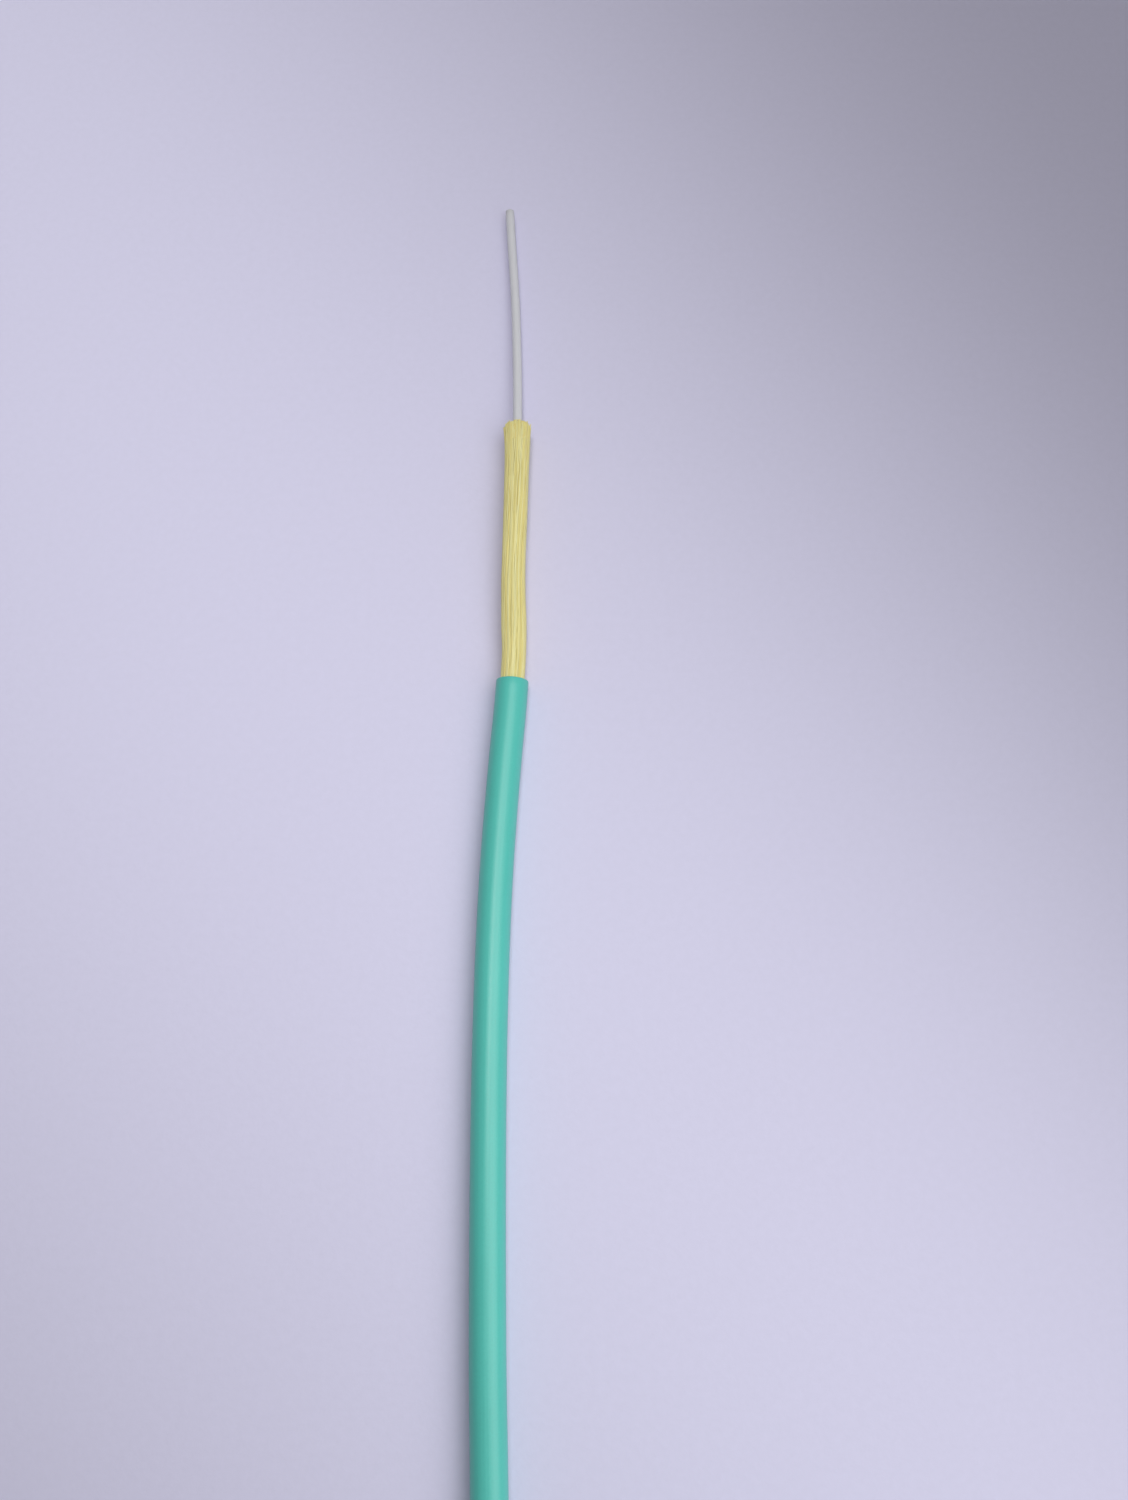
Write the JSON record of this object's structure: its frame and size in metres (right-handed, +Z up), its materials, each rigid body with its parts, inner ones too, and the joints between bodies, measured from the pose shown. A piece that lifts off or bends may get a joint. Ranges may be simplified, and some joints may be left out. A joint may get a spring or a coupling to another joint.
{
  "type": "indoor simplex fibre optic cable",
  "caption": "Length of aqua indoor fibre cable, stripped in steps to its yarn and tight buffer at one end and wound into a small tied coil at the other.",
  "frame": {"origin": "middle of the laid cable's outline on the floor plane", "axes": "+Y from the coil towards the stripped end, +Z up from the floor"},
  "size_m": [0.0408, 0.1722, 0.0143],
  "materials": {
    "jacket": "satin aqua jacket compound",
    "yarn": "loose pale yellow aramid filaments",
    "buffer": "satin white buffer",
    "fibre": "clear coated glass fibre",
    "tie": "black coated wire tie"
  },
  "bodies": {
    "root": {"outer_jacket": "jacket", "cable_coil": "jacket", "aramid_yarn": "yarn", "tight_buffer": "buffer", "coated_fibre": "fibre", "coil_tie_1": "tie", "coil_tie_2": "tie"}
  },
  "joints": []
}
